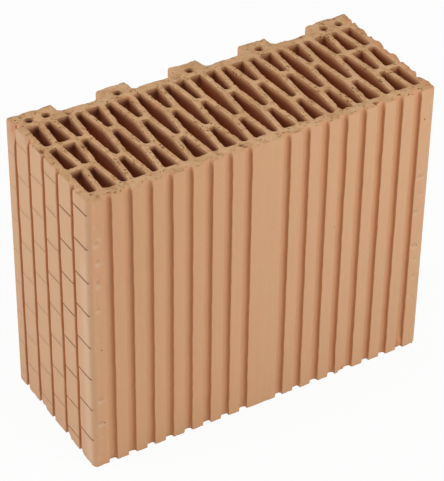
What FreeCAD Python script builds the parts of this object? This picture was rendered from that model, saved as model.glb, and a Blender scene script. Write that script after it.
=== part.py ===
import FreeCAD, Part
import math
import os

import Sketcher

# Hollow fired-clay wall block, standing on its bed face with the holes upright.
# X runs along the long grooved face, Y from that face to the tongues, Z up.
# The origin is the middle of the bottom of the block's box.

NODE = "clay_block"

# Driving sizes in millimetres, apart from the three counts
SIZES = (
    ("length", 300, "long side of the block"),
    ("body_depth", 114, "grooved face to the face that carries the tongues"),
    ("tongue_depth", 11, "how far the tongues stand out of that face"),
    ("height", 249, "bed face to bed face"),
    ("corner_radius", 4.5, "upright corners of the grooved face"),
    ("tongue_corner_radius", 2, "upright corners of the end tongues"),
    ("tongue_pitch", 62.5, "middle tongue to its neighbours"),
    ("tongue_tip", 25, "width of a tongue at its tip"),
    ("tongue_flare", 1.5, "how much wider a tongue is at its root, each side"),
    ("end_tongue", 37.5, "width of an end tongue at its tip"),
    ("tongue_tip_radius", 1.5, "rounding of the tongue tips"),
    ("tongue_root_radius", 3, "rounding between a tongue and the face"),
    ("front_wall", 11, "grooved face to the holes"),
    ("back_wall", 9, "tongue face to the holes"),
    ("end_wall", 8, "end face to the holes"),
    ("web", 5.2, "clay between two columns of holes"),
    ("cross_web", 5.3, "clay between two holes of one column"),
    ("swing", 2.6, "how far the wave of the webs widens and narrows a hole"),
    ("wave_repeats", 4, "repeats of the wave on each side of the middle"),
    ("middle_hole", 9, "width of the middle hole at the tongue side"),
    ("belly_radius", 60, "rounding of the widest part of a full hole"),
    ("narrow_radius", 2.1, "rounding of the narrow ends of the holes"),
    ("wide_radius", 1.2, "rounding of the wide ends of the holes"),
    ("pin_hole", 6.5, "diameter of the round holes at the tongue roots"),
    ("pin_hole_inset", 0.5, "tongue face to the centres of the round holes"),
    ("pin_hole_end", 13.5, "end face to the first round hole"),
    ("pin_hole_gap", 14, "first round hole to the second"),
    ("front_grooves", 8, "grooves on each half of the long face"),
    ("front_groove_mouth", 6.7, "width of those grooves"),
    ("front_groove_depth", 3.2, "depth of those grooves"),
    ("front_corner_strip", 13.5, "end face to the nearest of those grooves"),
    ("end_grooves", 5, "grooves on each end face"),
    ("end_groove_mouth", 5.5, "width of the grooves on the end faces"),
    ("end_groove_depth", 3, "depth of the grooves on the end faces"),
    ("end_strip_front", 21.2, "grooved face to the first groove of an end face"),
    ("end_strip_rear", 10.2, "tongue tip to the last groove of an end face"),
    ("groove_root_radius", 1.6, "rounding along the floors of all grooves"),
)

# Lines of the plan
FRONT = "(-(Sizes.body_depth + Sizes.tongue_depth) / 2)"
TIP_LINE = "((Sizes.body_depth + Sizes.tongue_depth) / 2)"
BACK = f"({FRONT} + Sizes.body_depth)"
END = "(Sizes.length / 2)"

# Columns and rows of the hole field: three columns lie outside the repeats at each end
REPEATS = "round(Sizes.wave_repeats)"
LAST_COLUMN = f"(2 * {REPEATS} + 3)"
PITCH = f"((Sizes.length - 2 * Sizes.end_wall + Sizes.web) / (2 * {LAST_COLUMN} + 1))"
WIDE = f"({PITCH} - Sizes.web + Sizes.swing)"
NARROW = f"({PITCH} - Sizes.web - Sizes.swing)"
FIRST_ROW = f"({FRONT} + Sizes.front_wall)"
ROW = f"(({BACK} - Sizes.back_wall - {FIRST_ROW} - 2 * Sizes.cross_web) / 3)"
ROW_STEP = f"({ROW} + Sizes.cross_web)"
SECOND_ROW = f"({FIRST_ROW} + {ROW_STEP})"

# Roundings, held inside the width that they round
NARROW_RADIUS = f"min(Sizes.narrow_radius; 0.45 * {NARROW})"
WIDE_RADIUS = f"min(Sizes.wide_radius; 0.3 * {WIDE})"
END_TONGUE_TIP = f"({END} - Sizes.end_tongue)"
END_TONGUE_ROOT = f"({END_TONGUE_TIP} - Sizes.tongue_flare)"
HALF_TONGUE_ROOT = "(Sizes.tongue_tip / 2 + Sizes.tongue_flare)"
TONGUE_GAP = f"({END_TONGUE_ROOT} - Sizes.tongue_pitch - {HALF_TONGUE_ROOT})"
ROOT_RADIUS = f"min(Sizes.tongue_root_radius; 0.4 * {TONGUE_GAP})"
SHARP = None

# Places of the grooves
FRONT_GROOVES = "round(Sizes.front_grooves)"
OUTER_GROOVE = f"({END} - Sizes.front_corner_strip - Sizes.front_groove_mouth / 2)"
INNER_GROOVE = f"({OUTER_GROOVE} / {FRONT_GROOVES})"
END_GROOVES = "round(Sizes.end_grooves)"
END_FIRST = f"({FRONT} + Sizes.end_strip_front + Sizes.end_groove_mouth / 2)"
END_LAST = f"({TIP_LINE} - Sizes.end_strip_rear - Sizes.end_groove_mouth / 2)"


def driving_sheet(doc):
    """Put the driving sizes into a sheet, one named cell each."""
    sheet = doc.addObject("Spreadsheet::Sheet", "Sizes")
    for row, (alias, value, meaning) in enumerate(SIZES, start=1):
        sheet.set(f"A{row}", meaning)
        sheet.set(f"B{row}", str(value))
        sheet.setAlias(f"B{row}", alias)
    doc.recompute()
    return sheet


def column_x(column):
    """Give the middle of a column of holes, counted from the middle of the block."""
    return f"({column} * {PITCH})"


def lens_corners(column, low):
    """Give the corners of a full hole, with narrow ends and a wide belly."""
    middle = column_x(column)
    half_length = f"({ROW} + Sizes.cross_web / 2)"
    belly = f"{low} + {half_length}"
    high = f"{low} + 2 * {half_length}"
    return [
        (f"{middle} - {NARROW} / 2", low, NARROW_RADIUS),
        (f"{middle} + {NARROW} / 2", low, NARROW_RADIUS),
        (f"{middle} + {WIDE} / 2", belly, "Sizes.belly_radius"),
        (f"{middle} + {NARROW} / 2", high, NARROW_RADIUS),
        (f"{middle} - {NARROW} / 2", high, NARROW_RADIUS),
        (f"{middle} - {WIDE} / 2", belly, "Sizes.belly_radius"),
    ]


def middle_lens_corners():
    """Give the corners of the middle hole, which stays wide up to the tongue side."""
    front_left, front_right, right, _, _, left = lens_corners(0, SECOND_ROW)
    high = f"{SECOND_ROW} + {ROW} + {ROW_STEP}"
    return [
        front_left,
        front_right,
        right,
        ("Sizes.middle_hole / 2", high, WIDE_RADIUS),
        ("-Sizes.middle_hole / 2", high, WIDE_RADIUS),
        left,
    ]


def wedge_corners(column, row, wide_at_back):
    """Give the corners of a hole one row long, wide at one end and narrow at the other."""
    middle = column_x(column)
    low = f"{FIRST_ROW} + {row} * {ROW_STEP}"
    high = f"{low} + {ROW}"
    front = (NARROW, NARROW_RADIUS) if wide_at_back else (WIDE, WIDE_RADIUS)
    back = (WIDE, WIDE_RADIUS) if wide_at_back else (NARROW, NARROW_RADIUS)
    return [
        (f"{middle} - {front[0]} / 2", low, front[1]),
        (f"{middle} + {front[0]} / 2", low, front[1]),
        (f"{middle} + {back[0]} / 2", high, back[1]),
        (f"{middle} - {back[0]} / 2", high, back[1]),
    ]


def inner_wedge_corners(side):
    """Give the corners of the wedge beside the middle hole, with its inner side along that hole."""
    corners = wedge_corners(side, 2, True)
    inner = 2 if side < 0 else 3
    _, high, radius = corners[inner]
    corners[inner] = (f"{side} * (Sizes.middle_hole / 2 + Sizes.web)", high, radius)
    return corners


def end_hole_corners(row, wide_at_back):
    """Give the corners of a hole of the left end column, straight along the end wall."""
    outer = f"-{END} + Sizes.end_wall"
    _, front, back, _ = wedge_corners(f"-{LAST_COLUMN}", row, wide_at_back)
    return [
        (outer, front[1], front[2]),
        front,
        back,
        (outer, back[1], back[2]),
    ]


def plan_corners():
    """Give the corners of the block's outline with its tongues."""
    tip_radius = "Sizes.tongue_tip_radius"
    corners = [
        (f"-{END}", FRONT, "Sizes.corner_radius"),
        (END, FRONT, "Sizes.corner_radius"),
        (END, TIP_LINE, "Sizes.tongue_corner_radius"),
        (END_TONGUE_TIP, TIP_LINE, tip_radius),
        (END_TONGUE_ROOT, BACK, ROOT_RADIUS),
    ]
    for place in (1, 0, -1):
        middle = f"{place} * Sizes.tongue_pitch"
        corners += [
            (f"{middle} + {HALF_TONGUE_ROOT}", BACK, ROOT_RADIUS),
            (f"{middle} + Sizes.tongue_tip / 2", TIP_LINE, tip_radius),
            (f"{middle} - Sizes.tongue_tip / 2", TIP_LINE, tip_radius),
            (f"{middle} - {HALF_TONGUE_ROOT}", BACK, ROOT_RADIUS),
        ]
    corners += [
        (f"-{END_TONGUE_ROOT}", BACK, ROOT_RADIUS),
        (f"-{END_TONGUE_TIP}", TIP_LINE, tip_radius),
        (f"-{END}", TIP_LINE, "Sizes.tongue_corner_radius"),
    ]
    return corners


def groove_root(face):
    """Give the rounding along the floor of a face's grooves, held inside the groove."""
    mouth = f"Sizes.{face}_groove_mouth"
    depth = f"Sizes.{face}_groove_depth"
    return f"min(Sizes.groove_root_radius; 0.45 * {mouth}; 0.9 * {depth})"


def front_groove_corners():
    """Give the corners of the outermost groove on the left half of the long face."""
    left = f"-{OUTER_GROOVE} - Sizes.front_groove_mouth / 2"
    right = f"-{OUTER_GROOVE} + Sizes.front_groove_mouth / 2"
    floor = f"{FRONT} + Sizes.front_groove_depth"
    outside = f"{FRONT} - Sizes.front_groove_depth"
    return [
        (left, outside, SHARP),
        (right, outside, SHARP),
        (right, floor, groove_root("front")),
        (left, floor, groove_root("front")),
    ]


def end_groove_corners():
    """Give the corners of the groove of the left end face that lies nearest the long face."""
    low = f"{END_FIRST} - Sizes.end_groove_mouth / 2"
    high = f"{END_FIRST} + Sizes.end_groove_mouth / 2"
    floor = f"-{END} + Sizes.end_groove_depth"
    outside = f"-{END} - Sizes.end_groove_depth"
    return [
        (outside, low, SHARP),
        (floor, low, groove_root("end")),
        (floor, high, groove_root("end")),
        (outside, high, SHARP),
    ]


class BlockBody:
    """The block as one body: an upright outline with every hole and groove cut through it."""

    def __init__(self, doc, sheet):
        self.doc = doc
        self.sheet = sheet
        self.body = doc.addObject("PartDesign::Body", NODE)
        self.body.Label = NODE

    def value(self, expression):
        """Work out an expression of the sheet's sizes."""
        return float(self.sheet.evalExpression(expression))

    def origin(self, role):
        """Find a plane or axis of the body's own origin."""
        return next(item for item in self.body.Origin.OriginFeatures if item.Role == role)

    def plan_sketch(self, name):
        """Start a sketch on the bottom plane."""
        sketch = self.body.newObject("Sketcher::SketchObject", name)
        sketch.AttachmentSupport = (self.origin("XY_Plane"), [""])
        sketch.MapMode = "FlatFace"
        return sketch

    def bind(self, sketch, relations, dimensions):
        """Add relations and named dimensions to a sketch, and bind the dimensions to the sheet.

        A dimension is (name, constraint, expression).
        """
        first = sketch.ConstraintCount + len(relations)
        sketch.addConstraint(relations + [constraint for _, constraint, _ in dimensions])
        for index, (name, _, expression) in enumerate(dimensions, start=first):
            sketch.renameConstraint(index, name)
            sketch.setExpression(f"Constraints.{name}", expression)

    def rounding(self, before, point, after, radius):
        """Work out the arc that rounds a corner.

        Gives the points where the outline enters and leaves it, the arc, and which ends of the
        arc those are.
        """
        towards = (before - point).normalize()
        onwards = (after - point).normalize()
        half_angle = towards.getAngle(onwards) / 2
        entry = point + towards * (radius / math.tan(half_angle))
        departure = point + onwards * (radius / math.tan(half_angle))
        centre = point + (towards + onwards).normalize() * (radius / math.sin(half_angle))
        convex = onwards.cross(towards).z > 0
        first, last = (entry, departure) if convex else (departure, entry)
        start = math.atan2(first.y - centre.y, first.x - centre.x)
        end = math.atan2(last.y - centre.y, last.x - centre.x)
        if end < start:
            end += 2 * math.pi
        circle = Part.Circle(centre, FreeCAD.Vector(0, 0, 1), radius)
        return entry, departure, Part.ArcOfCircle(circle, start, end), (1, 2) if convex else (2, 1)

    def outline(self, sketch, prefix, corners):
        """Draw a closed outline with sharp or rounded corners.

        Each corner is (x, y, radius) in expressions, given counterclockwise. Where a corner is
        rounded, its sharp point stays in the sketch as a construction point with the dimensions.
        """
        points = [FreeCAD.Vector(self.value(x), self.value(y), 0) for x, y, _ in corners]
        entries = list(points)
        departures = list(points)
        arcs = {}
        for i, (_, _, radius) in enumerate(corners):
            if radius is SHARP:
                continue
            after = points[(i + 1) % len(points)]
            entries[i], departures[i], arc, ends = self.rounding(
                points[i - 1], points[i], after, self.value(radius)
            )
            arcs[i] = (sketch.addGeometry(arc, False), ends)
        sides = [
            sketch.addGeometry(Part.LineSegment(departures[i], entries[(i + 1) % len(points)]), False)
            for i in range(len(points))
        ]
        relations = []
        dimensions = []
        for i, (x, y, radius) in enumerate(corners):
            before, after = sides[i - 1], sides[i]
            name = f"{prefix}_{i}"
            if radius is SHARP:
                relations.append(Sketcher.Constraint("Coincident", before, 2, after, 1))
                mark = after
            else:
                arc, (entry_end, departure_end) = arcs[i]
                mark = sketch.addGeometry(Part.Point(points[i]), True)
                relations += [
                    Sketcher.Constraint("Tangent", before, 2, arc, entry_end),
                    Sketcher.Constraint("Tangent", after, 1, arc, departure_end),
                    Sketcher.Constraint("PointOnObject", mark, 1, before),
                    Sketcher.Constraint("PointOnObject", mark, 1, after),
                ]
                size = Sketcher.Constraint("Radius", arc, self.value(radius))
                dimensions.append((f"{name}_radius", size, radius))
            dimensions += [
                (f"{name}_x", Sketcher.Constraint("DistanceX", mark, 1, points[i].x), x),
                (f"{name}_y", Sketcher.Constraint("DistanceY", mark, 1, points[i].y), y),
            ]
        self.bind(sketch, relations, dimensions)

    def circle(self, sketch, prefix, x, y, diameter):
        """Draw a circle whose centre and diameter are expressions."""
        centre = FreeCAD.Vector(self.value(x), self.value(y), 0)
        axis = FreeCAD.Vector(0, 0, 1)
        ring = sketch.addGeometry(Part.Circle(centre, axis, self.value(diameter) / 2), False)
        dimensions = [
            (f"{prefix}_x", Sketcher.Constraint("DistanceX", ring, 3, centre.x), x),
            (f"{prefix}_y", Sketcher.Constraint("DistanceY", ring, 3, centre.y), y),
            (f"{prefix}_size", Sketcher.Constraint("Diameter", ring, self.value(diameter)), diameter),
        ]
        self.bind(sketch, [], dimensions)

    def finished(self, feature):
        """Make a feature the body's last one and check that it built."""
        feature.Refine = False
        self.body.Tip = feature
        self.doc.recompute()
        if not feature.isValid() or feature.Shape.isNull():
            raise RuntimeError(f"{feature.Name} did not build: {feature.State}")
        return feature

    def cut_through(self, name, sketch):
        """Cut a sketch right through the block, upwards from the bottom plane."""
        before = self.body.Shape.Volume
        pocket = self.body.newObject("PartDesign::Pocket", name)
        pocket.Profile = sketch
        pocket.Type = "ThroughAll"
        pocket.Reversed = True
        self.finished(pocket)
        if pocket.Shape.Volume >= before:
            raise RuntimeError(f"{name} cuts nothing")
        return pocket

    def row_of(self, name, axis, reach, count):
        """Set up a straight row over a length given as an expression."""
        row = self.body.newObject("PartDesign::LinearPattern", name)
        row.Direction = (self.origin(axis), [""])
        row.setExpression("Length", reach)
        row.setExpression("Occurrences", count)
        return row

    def other_half(self, name):
        """Set up a copy on the other half of the block's length."""
        mirror = self.body.newObject("PartDesign::Mirrored", name)
        mirror.MirrorPlane = (self.origin("YZ_Plane"), [""])
        return mirror

    def repeat_both_halves(self, feature, axis, reach, count):
        """Repeat a cut in a row, and the row on the other half of the block."""
        name = feature.Name
        both = self.body.newObject("PartDesign::MultiTransform", f"{name}_both_halves")
        both.Originals = [feature]
        both.Transformations = [
            self.row_of(f"{name}_row", axis, reach, count),
            self.other_half(f"{name}_other_half"),
        ]
        self.finished(both)

    def raise_outline(self):
        """Raise the block's outline to the full height."""
        sketch = self.plan_sketch("block_plan")
        self.outline(sketch, "plan", plan_corners())
        pad = self.body.newObject("PartDesign::Pad", "block")
        pad.Profile = sketch
        pad.setExpression("Length", "Sizes.height")
        self.finished(pad)

    def cut_grooves(self):
        """Cut the plaster grooves of the long face and of the two end faces."""
        sketch = self.plan_sketch("front_groove_plan")
        self.outline(sketch, "groove", front_groove_corners())
        groove = self.cut_through("front_groove", sketch)
        self.repeat_both_halves(groove, "X_Axis", f"{OUTER_GROOVE} - {INNER_GROOVE}", FRONT_GROOVES)

        sketch = self.plan_sketch("end_groove_plan")
        self.outline(sketch, "groove", end_groove_corners())
        groove = self.cut_through("end_groove", sketch)
        self.repeat_both_halves(groove, "Y_Axis", f"{END_LAST} - {END_FIRST}", END_GROOVES)

    def cut_wave_holes(self):
        """Cut one repeat of the wave at the left, two columns wide, and its copies."""
        outer = f"-({LAST_COLUMN} - 2)"
        inner = f"-({LAST_COLUMN} - 3)"
        sketch = self.plan_sketch("wave_plan")
        self.outline(sketch, "front_lens", lens_corners(outer, FIRST_ROW))
        self.outline(sketch, "back_wedge", wedge_corners(outer, 2, True))
        self.outline(sketch, "back_lens", lens_corners(inner, SECOND_ROW))
        self.outline(sketch, "front_wedge", wedge_corners(inner, 0, False))
        wave = self.cut_through("wave", sketch)
        self.repeat_both_halves(wave, "X_Axis", f"2 * {PITCH} * ({REPEATS} - 1)", REPEATS)

    def cut_middle_holes(self):
        """Cut the three columns in the middle of the block."""
        sketch = self.plan_sketch("middle_plan")
        self.outline(sketch, "middle_lens", middle_lens_corners())
        self.outline(sketch, "middle_wedge", wedge_corners(0, 0, False))
        for name, side in (("left", -1), ("right", 1)):
            self.outline(sketch, f"{name}_lens", lens_corners(side, FIRST_ROW))
            self.outline(sketch, f"{name}_wedge", inner_wedge_corners(side))
        self.cut_through("middle_holes", sketch)

    def cut_end_holes(self):
        """Cut the two outermost columns at the left and their copies at the right."""
        column = f"-({LAST_COLUMN} - 1)"
        sketch = self.plan_sketch("end_holes_plan")
        self.outline(sketch, "split_back", wedge_corners(column, 2, False))
        self.outline(sketch, "split_middle", wedge_corners(column, 1, True))
        self.outline(sketch, "split_front", wedge_corners(column, 0, False))
        for row, wide_at_back in enumerate((True, False, True)):
            self.outline(sketch, f"end_hole_{row}", end_hole_corners(row, wide_at_back))
        holes = self.cut_through("end_holes", sketch)
        pair = self.other_half("end_holes_other_half")
        pair.Originals = [holes]
        self.finished(pair)

    def cut_pin_holes(self):
        """Cut the round holes at the roots of the tongues."""
        line = f"{BACK} - Sizes.pin_hole_inset"
        first = f"-{END} + Sizes.pin_hole_end"
        sketch = self.plan_sketch("pin_holes_plan")
        for side in (-1, 0, 1):
            self.circle(sketch, f"tongue_{side + 1}", f"{side} * Sizes.tongue_pitch", line, "Sizes.pin_hole")
        for name, turn in (("left", ""), ("right", "-")):
            self.circle(sketch, f"{name}_outer", f"{turn}({first})", line, "Sizes.pin_hole")
            inner = f"{turn}({first} + Sizes.pin_hole_gap)"
            self.circle(sketch, f"{name}_inner", inner, line, "Sizes.pin_hole")
        self.cut_through("pin_holes", sketch)


def check(doc, body):
    """Stop if anything in the document failed, before a file is written."""
    for item in doc.Objects:
        if {"Invalid", "Error"} & set(item.State):
            raise RuntimeError(f"{item.Name} is {item.State}")
    shape = body.Shape
    if shape.isNull() or not shape.isValid() or len(shape.Solids) != 1:
        raise RuntimeError(f"{body.Label} is not one valid solid")


def main():
    """Build the block and write its solid."""
    doc = FreeCAD.newDocument("hollow_clay_block")
    block = BlockBody(doc, driving_sheet(doc))
    block.raise_outline()
    block.cut_grooves()
    block.cut_wave_holes()
    block.cut_middle_holes()
    block.cut_end_holes()
    block.cut_pin_holes()
    check(doc, block.body)
    shape = block.body.Shape
    os.makedirs("parts", exist_ok=True)
    shape.exportStep(f"parts/{NODE}.step")
    print(f"{NODE}: {shape.Volume / 1000:.1f} cm3, {len(shape.Faces)} faces")


main()
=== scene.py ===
"""Dress the hollow clay block: ragged hole rims, end faces cut across in lines, and a burnt-clay finish with
painted light and shade.
"""

import logging
import math
from contextlib import contextmanager
from dataclasses import dataclass, field
from enum import Enum
from typing import Any, Callable, Iterator, Sequence

import bmesh
import bpy
import numpy as np
from mathutils import Matrix, Vector, kdtree, noise

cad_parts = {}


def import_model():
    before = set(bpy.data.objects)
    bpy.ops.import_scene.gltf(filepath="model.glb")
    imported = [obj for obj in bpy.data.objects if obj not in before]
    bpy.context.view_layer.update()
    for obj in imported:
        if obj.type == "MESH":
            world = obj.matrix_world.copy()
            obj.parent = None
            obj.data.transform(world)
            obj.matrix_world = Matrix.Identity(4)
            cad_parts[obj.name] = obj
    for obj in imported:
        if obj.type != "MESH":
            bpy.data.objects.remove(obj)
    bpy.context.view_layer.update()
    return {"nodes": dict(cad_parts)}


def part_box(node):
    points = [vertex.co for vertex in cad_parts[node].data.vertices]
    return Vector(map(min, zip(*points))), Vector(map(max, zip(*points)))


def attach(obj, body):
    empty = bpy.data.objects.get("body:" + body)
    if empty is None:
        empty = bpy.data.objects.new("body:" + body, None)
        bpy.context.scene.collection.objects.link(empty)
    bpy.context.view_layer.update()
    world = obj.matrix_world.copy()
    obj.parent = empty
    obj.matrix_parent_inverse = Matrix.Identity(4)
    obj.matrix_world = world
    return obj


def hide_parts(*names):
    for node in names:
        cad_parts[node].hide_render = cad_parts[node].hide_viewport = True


LOG = logging.getLogger("clay_block_scene")
NODE = "clay_block"
BODY = "root"
PHOTO_HEIGHT = 481
MM = 0.001
TOUCH = 0.01 * MM
TINY = 1e-6
# A face belongs to a bed where the upright part of its normal is over LEVEL,
# and faces along an axis where that part of its normal is over FACING.
LEVEL = 0.5
FACING = 0.6


def mm(*values: float) -> tuple[float, ...]:
    """Turn millimetres into metres."""
    return tuple(value * MM for value in values)


def srgb(red: int, green: int, blue: int) -> tuple[float, float, float, float]:
    """Turn a colour as seen on a screen into the linear one that a shader takes.

    Args:
        red: Red from 0 to 255.
        green: Green from 0 to 255.
        blue: Blue from 0 to 255.

    Returns:
        The linear colour with full alpha.
    """

    def linear(level: int) -> float:
        """Turn one channel."""
        share = level / 255
        return share / 12.92 if share <= 0.04045 else ((share + 0.055) / 1.055) ** 2.4

    return (linear(red), linear(green), linear(blue), 1.0)


class Zone(Enum):
    """The surfaces that an extruded and ground block has."""

    SKIN = 0
    BORE = 1
    BED = 2


class Axis(Enum):
    """The axes of the frame."""

    X = 0
    Y = 1
    Z = 2

    def point(self, place: float) -> tuple[float, float, float]:
        """Give the point at a place along this axis."""
        return tuple(place if index == self.value else 0.0 for index in range(3))


def steps(low: float, high: float, step: float) -> list[float]:
    """Give evenly spaced places inside a range.

    Args:
        low: The start of the range.
        high: Its end.
        step: About how far apart they are.

    Returns:
        The places, without the two ends.
    """
    count = max(1, round((high - low) / step))
    return [low + (high - low) * index / count for index in range(1, count)]


class Socket:
    """A shader value that takes part in Python expressions."""

    def __init__(self, graph: "ShaderGraph", output: bpy.types.NodeSocket) -> None:
        """Wrap an output of a node."""
        self.graph = graph
        self.output = output

    def _math(self, operation: str, *values: Any) -> "Socket":
        """Add a Math node for these values."""
        return self.graph.node("ShaderNodeMath", {"operation": operation}, dict(enumerate(values)))

    def __add__(self, other: Any) -> "Socket":
        """Add a value."""
        return self._math("ADD", self, other)

    __radd__ = __add__

    def __sub__(self, other: Any) -> "Socket":
        """Take a value away."""
        return self._math("SUBTRACT", self, other)

    def __rsub__(self, other: Any) -> "Socket":
        """Take this away from a value."""
        return self._math("SUBTRACT", other, self)

    def __mul__(self, other: Any) -> "Socket":
        """Multiply by a value."""
        return self._math("MULTIPLY", self, other)

    __rmul__ = __mul__

    def least(self, other: Any) -> "Socket":
        """Give the smaller of this and a value."""
        return self._math("MINIMUM", self, other)

    def other(self, name: str) -> "Socket":
        """Give another output of the same node."""
        return Socket(self.graph, self.output.node.outputs[name])

    def clamped(self) -> "Socket":
        """Keep the value from 0 to 1."""
        return self.graph.node("ShaderNodeClamp", {}, {"Value": self})

    def ramp(self, low: float, high: float) -> "Socket":
        """Go smoothly from 0 at low to 1 at high.

        Args:
            low: The value that gives 0.
            high: The value that gives 1.

        Returns:
            The smooth step.
        """
        settings = {"interpolation_type": "SMOOTHSTEP"}
        inputs = {"Value": self, "From Min": low, "From Max": high}
        return self.graph.node("ShaderNodeMapRange", settings, inputs)


class ShaderGraph:
    """The node tree of one material."""

    def __init__(self, name: str) -> None:
        """Start an empty material.

        Args:
            name: The material's name.
        """
        self.material = bpy.data.materials.new(name)
        self.material.use_nodes = True
        self.tree = self.material.node_tree
        self.tree.nodes.clear()

    def node(self, kind: str, settings: dict[str, Any], inputs: dict[Any, Any], output: Any = 0) -> Socket:
        """Add a node.

        Args:
            kind: The node's type.
            settings: Its own settings, which are set first.
            inputs: Values or sockets by the input's name or number.
            output: The name or number of the output that is wanted.

        Returns:
            That output.
        """
        made = self.tree.nodes.new(kind)
        for name, value in settings.items():
            setattr(made, name, value)
        for name, value in inputs.items():
            if isinstance(value, Socket):
                self.tree.links.new(value.output, made.inputs[name])
            else:
                made.inputs[name].default_value = value
        return Socket(self, made.outputs[output])

    def mix(self, factor: Any, first: Any, second: Any) -> Socket:
        """Mix two colours.

        Args:
            factor: The share of the second colour.
            first: The first colour.
            second: The second colour.

        Returns:
            The mixed colour.
        """
        settings = {"data_type": "RGBA"}
        return self.node("ShaderNodeMix", settings, {0: factor, 6: first, 7: second}, 2)

    def shade(self, colour: Socket, share: Any) -> Socket:
        """Darken or lighten a colour by a share, where 1 leaves it."""
        settings = {"operation": "SCALE"}
        return self.node("ShaderNodeVectorMath", settings, {0: colour, "Scale": share})

    def attribute(self, name: str) -> Socket:
        """Read a number that the mesh carries."""
        settings = {"attribute_type": "GEOMETRY", "attribute_name": name}
        return self.node("ShaderNodeAttribute", settings, {}, "Fac")

    def noise(self, place: Socket, scale: float, detail: float = 3.0, roughness: float = 0.55) -> Socket:
        """Give a cloudy pattern.

        Args:
            place: Where on the piece.
            scale: Patches in a metre.
            detail: How many finer layers it has.
            roughness: How strong those layers are.

        Returns:
            The pattern from 0 to 1.
        """
        inputs = {"Vector": place, "Scale": scale, "Detail": detail, "Roughness": roughness}
        return self.node("ShaderNodeTexNoise", {}, inputs, "Fac")

    def finish(self, shader: Socket) -> None:
        """Link a shader to the material's surface."""
        surface = self.tree.nodes.new("ShaderNodeOutputMaterial")
        self.tree.links.new(shader.output, surface.inputs["Surface"])

    def stretched(self, place: Socket, scale: tuple[float, float, float]) -> Socket:
        """Stretch the place that a pattern reads."""
        return self.node("ShaderNodeMapping", {}, {"Vector": place, "Scale": scale})


Colour = tuple[float, float, float, float]
Triple = tuple[float, float, float]
Band = tuple[float, float]


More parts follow.
